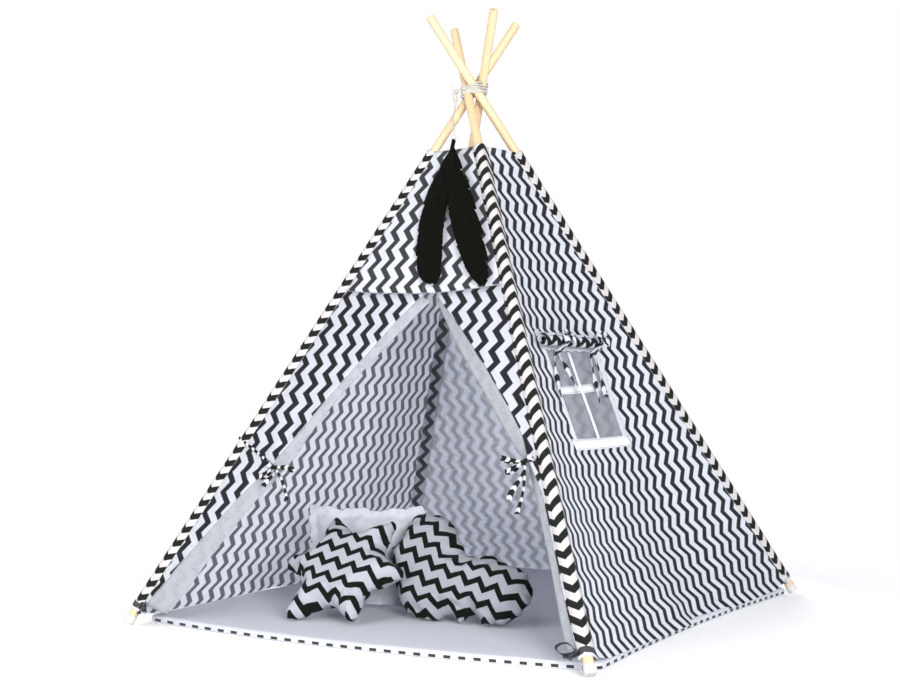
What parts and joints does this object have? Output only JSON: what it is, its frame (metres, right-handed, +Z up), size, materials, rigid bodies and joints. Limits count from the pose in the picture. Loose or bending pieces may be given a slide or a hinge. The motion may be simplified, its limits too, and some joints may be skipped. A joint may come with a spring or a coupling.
{
  "type": "kids teepee",
  "caption": "Children's play teepee: crossed round poles, chevron-print cotton cover with a tied-back door and a net window, floor mat and loose cushions.",
  "frame": {"origin": "on the floor under the middle of the pole crossing", "axes": "+X to the right of the doorway seen from outside, +Y from the doorway to the back, +Z up"},
  "size_m": [1.2572, 1.2572, 1.5061],
  "materials": {
    "pine": "planed pine, unvarnished",
    "cap_white": "white, satin",
    "print_cloth": "cotton with a charcoal and white chevron print",
    "white_cloth": "plain white cotton",
    "net": "fine open net",
    "cotton": "twisted cotton",
    "dark_ribbon": "sheer dark ribbon",
    "feather": "dark feather vane",
    "bead": "small round bead"
  },
  "bodies": {
    "mat": {"floor_mat": "white_cloth"},
    "crown": {"lashing_band": "cotton", "lashing_knot": "cotton"},
    "left_frame": {"pole_front_left": "pine", "pole_back_left": "pine", "foot_cap_front_left": "cap_white", "foot_cap_back_left": "cap_white", "sleeve_front_left": "print_cloth", "sleeve_back_left": "print_cloth", "left_panel": "print_cloth", "back_panel_left": "print_cloth", "gable_left": "print_cloth", "foot_tie_front_left": "dark_ribbon", "foot_tie_back_left": "dark_ribbon", "foot_bow_front_left": "dark_ribbon", "foot_bow_back_left": "dark_ribbon"},
    "right_frame": {"pole_front_right": "pine", "pole_back_right": "pine", "foot_cap_front_right": "cap_white", "foot_cap_back_right": "cap_white", "sleeve_front_right": "print_cloth", "sleeve_back_right": "print_cloth", "right_panel": "print_cloth", "back_panel_right": "print_cloth", "gable_right": "print_cloth", "foot_tie_front_right": "dark_ribbon", "foot_tie_back_right": "dark_ribbon", "foot_bow_front_right": "dark_ribbon", "foot_bow_back_right": "dark_ribbon", "window_frame": "white_cloth", "window_net": "net", "window_bar_upright": "white_cloth", "window_bar_level": "white_cloth", "blind_roll": "print_cloth", "blind_tie_front": "print_cloth", "blind_tie_rear": "print_cloth", "blind_bow_front": "print_cloth", "blind_bow_rear": "print_cloth"},
    "left_door": {"door_flap_left": "print_cloth", "door_facing_left": "white_cloth", "door_tie_left": "print_cloth", "door_bow_left": "print_cloth"},
    "right_door": {"door_flap_right": "print_cloth", "door_facing_right": "white_cloth", "door_tie_right": "print_cloth", "door_bow_right": "print_cloth"},
    "feather_drop": {"feather_cord": "cotton", "cord_bead": "bead"},
    "left_feather": {"feather_left": "feather"},
    "right_feather": {"feather_right": "feather"},
    "star": {"star_cushion": "print_cloth"},
    "cloud": {"cloud_cushion": "print_cloth"},
    "pillow": {"square_pillow": "white_cloth"}
  },
  "joints": [
    {"name": "tent_lift", "type": "slide", "parent": "mat", "child": "crown", "axis": [0, 0, 1], "range_m": [0, 0.88]},
    {"name": "fold_left", "type": "hinge", "parent": "crown", "child": "left_frame", "pos_m": [0, 0, 1.32], "axis": [0, -1, 0], "range_deg": [0, 22], "deforming": ["back_panel_left", "gable_left", "door_flap_left", "door_facing_left", "door_tie_left", "door_bow_left", "foot_bow_front_left", "foot_bow_back_left"]},
    {"name": "fold_right", "type": "hinge", "parent": "crown", "child": "right_frame", "pos_m": [0, 0, 1.32], "axis": [0, 1, 0], "range_deg": [0, 22], "deforming": ["back_panel_right", "gable_right", "door_flap_right", "door_facing_right", "door_tie_right", "door_bow_right", "foot_bow_front_right", "foot_bow_back_right"]},
    {"name": "door_left", "type": "hinge", "parent": "left_frame", "child": "left_door", "pos_m": [-0.62, -0.62, 0], "axis": [-0.3829, -0.3995, -0.8329], "range_deg": [0, 60]},
    {"name": "door_right", "type": "hinge", "parent": "right_frame", "child": "right_door", "pos_m": [0.62, -0.62, 0], "axis": [-0.3995, 0.3829, 0.8329], "range_deg": [0, 60]},
    {"name": "feather_swing", "type": "hinge", "parent": "crown", "child": "feather_drop", "pos_m": [-0.0404, -0.02, 1.312], "axis": [-1, 0, 0], "range_deg": [0, 25]},
    {"name": "feather_left_swing", "type": "hinge", "parent": "feather_drop", "child": "left_feather", "pos_m": [-0.00376, -0.096, 1.18947], "axis": [0, 0.9052, -0.425], "range_deg": [0, 12]},
    {"name": "feather_right_swing", "type": "hinge", "parent": "feather_drop", "child": "right_feather", "pos_m": [-0.00376, -0.096, 1.18947], "axis": [0, -0.9052, 0.425], "range_deg": [0, 12]},
    {"name": "star_out", "type": "slide", "parent": "mat", "child": "star", "axis": [0, -1, 0], "range_m": [0, 0.55]},
    {"name": "cloud_out", "type": "slide", "parent": "mat", "child": "cloud", "axis": [1, 0, 0], "range_m": [0, 0.16]},
    {"name": "pillow_out", "type": "slide", "parent": "mat", "child": "pillow", "axis": [0, 0.6, 0.8], "range_m": [0, 0.2]}
  ],
  "couplings": [
    {"joint": "fold_left", "follows": "tent_lift", "rad_per_m": 0.43478},
    {"joint": "fold_right", "follows": "tent_lift", "rad_per_m": 0.43478}
  ]
}
